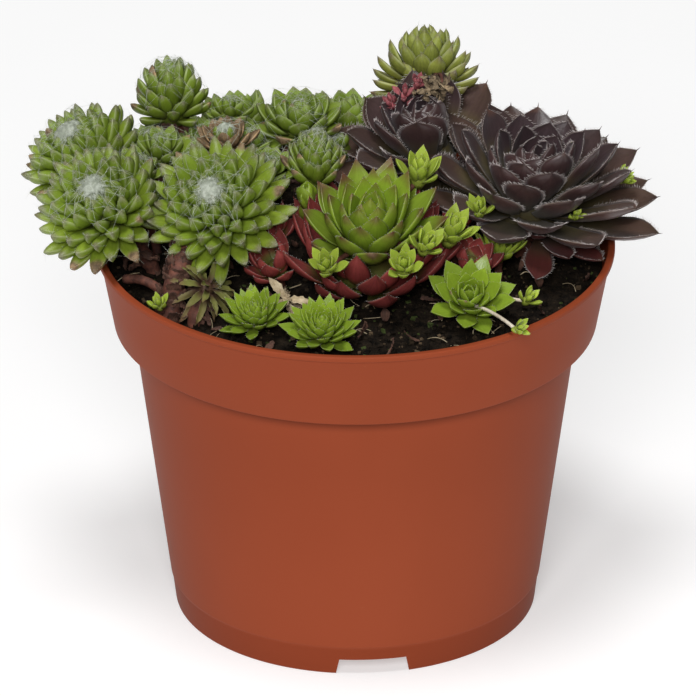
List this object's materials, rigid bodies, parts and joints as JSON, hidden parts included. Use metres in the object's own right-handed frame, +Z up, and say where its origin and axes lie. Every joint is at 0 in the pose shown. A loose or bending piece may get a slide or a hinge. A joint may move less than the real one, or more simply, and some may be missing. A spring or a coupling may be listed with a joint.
{
  "type": "potted houseleek",
  "caption": "Round plastic nursery pot with a wide rim band, filled with soil and planted with a mixed clump of houseleek rosettes: green cobweb heads, dark heads and small offsets.",
  "frame": {"origin": "on the pot's axis, at the level of the foot ring that it stands on", "axes": "+Z up along the pot's axis, -Y towards the viewer of the picture, +X to the viewer's right"},
  "size_m": [0.1496, 0.12, 0.1272],
  "materials": {
    "pot": "satin terracotta-coloured polypropylene, as moulded",
    "peat": "loose dark peat and bark fines",
    "webbed_leaf": "fleshy leaf with a woolly grey tip",
    "fresh_leaf": "fleshy green leaf with a fine hairy edge",
    "pale_leaf": "fleshy yellow-green leaf",
    "red_leaf": "fleshy dark red leaf",
    "dark_leaf": "fleshy purple-black leaf with a pale hairy edge",
    "dry_leaf": "dry papery brown leaf"
  },
  "bodies": {
    "root": {"pot": "pot", "soil": "peat", "dark_rosette": "dark_leaf", "dark_left_rosette": "dark_leaf", "centre_crown": "fresh_leaf", "centre_red_ring": "red_leaf", "cobweb_middle": "webbed_leaf", "cobweb_left_front": "webbed_leaf", "cobweb_left_back": "webbed_leaf", "upright_rosette": "webbed_leaf", "green_cup_rosette": "webbed_leaf", "top_right_rosette": "pale_leaf", "top_left_rosette": "webbed_leaf", "front_right_rosette": "pale_leaf", "front_middle_rosette": "fresh_leaf", "front_left_rosette": "fresh_leaf", "feathery_offset": "fresh_leaf", "woolly_rosette": "dry_leaf", "thread_rosette": "webbed_leaf", "small_top_rosette": "webbed_leaf", "back_left_rosette": "fresh_leaf", "back_right_rosette": "fresh_leaf", "withered_stem": "dry_leaf"}
  },
  "joints": []
}
